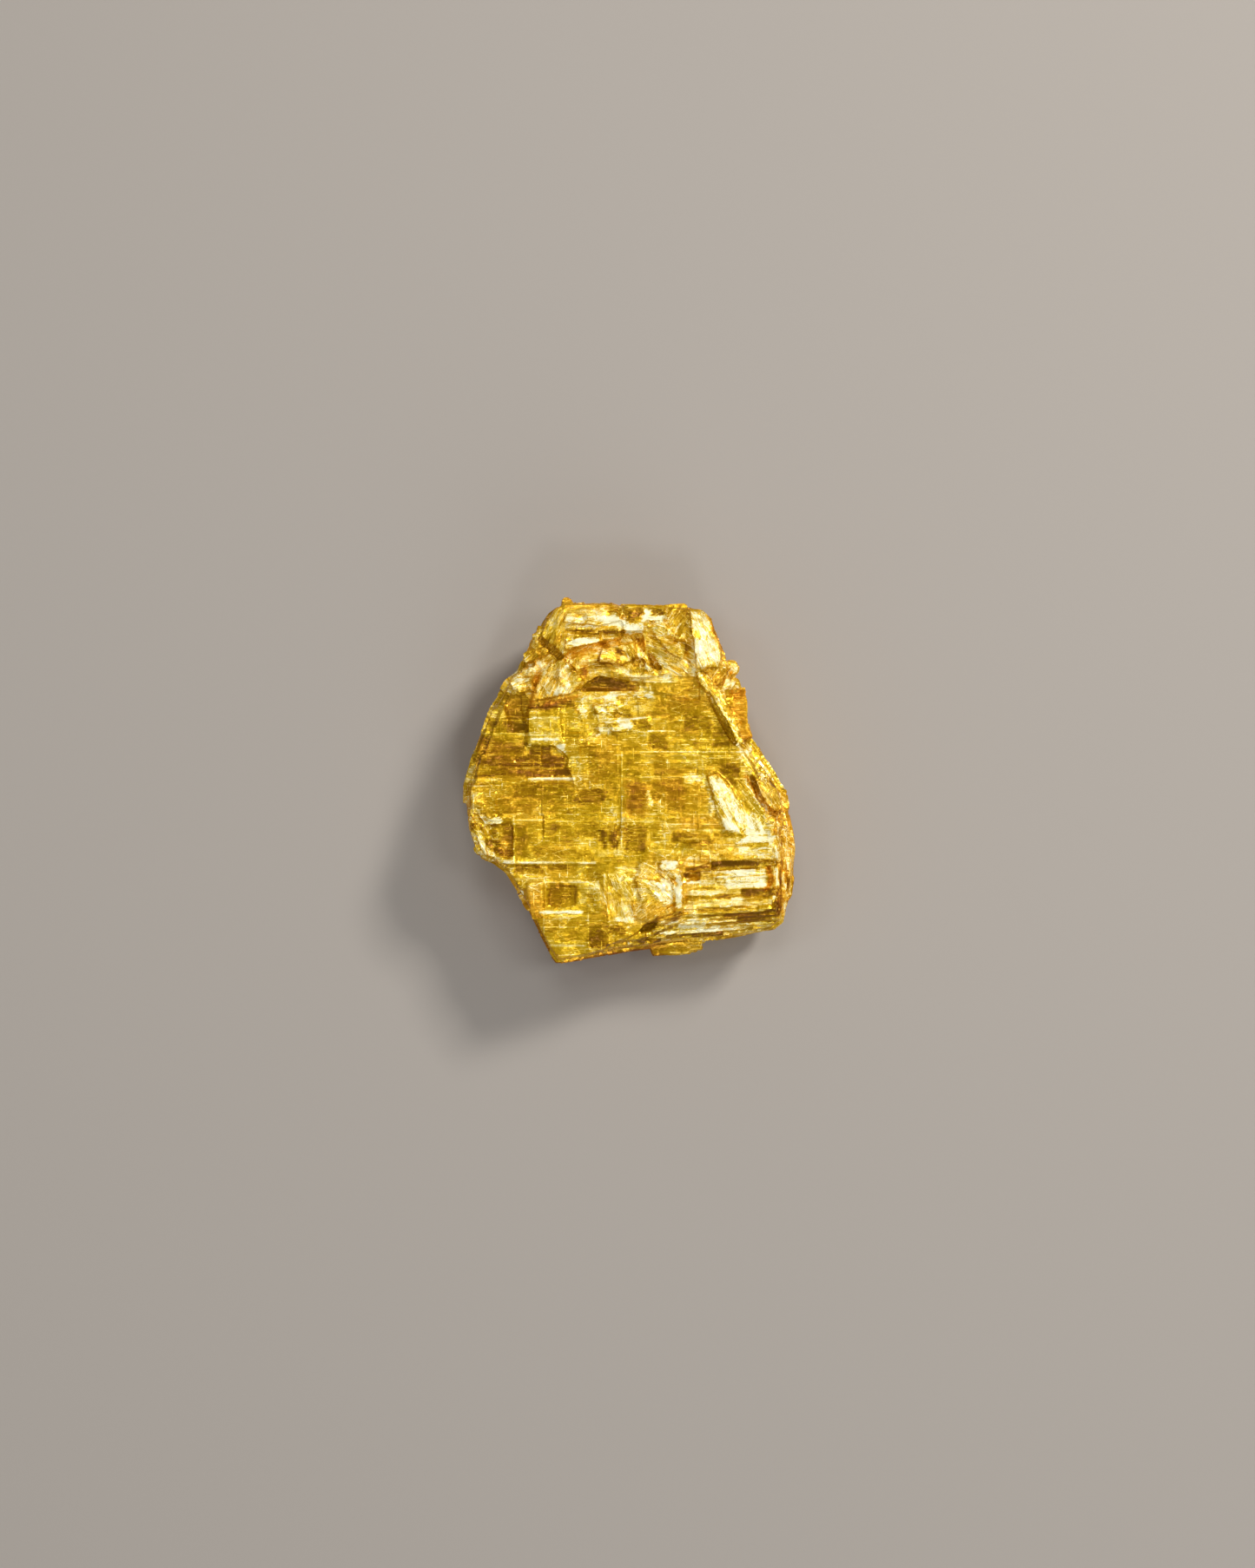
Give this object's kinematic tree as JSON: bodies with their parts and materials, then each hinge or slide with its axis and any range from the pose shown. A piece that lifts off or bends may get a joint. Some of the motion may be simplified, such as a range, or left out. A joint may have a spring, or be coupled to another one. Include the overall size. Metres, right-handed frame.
{
  "type": "orpiment specimen",
  "caption": "Broken cleavage slab of foliated golden-yellow orpiment, with a stepped show face and ragged layered edges, lying on its flat back.",
  "frame": {"origin": "middle of the bounding box's underside, on the flat cleavage back that the slab lies on", "axes": "+Z out of the show face, through the slab's thickness; +Y along its long way, towards the narrower blunt end; +X to the right when the show face is seen with +Y up"},
  "size_m": [0.0268, 0.0294, 0.01],
  "materials": {
    "orpiment": "pearly to resinous golden-yellow cleavage faces with olive windows and orange edges"
  },
  "bodies": {
    "root": {"orpiment_slab": "orpiment"}
  },
  "joints": []
}
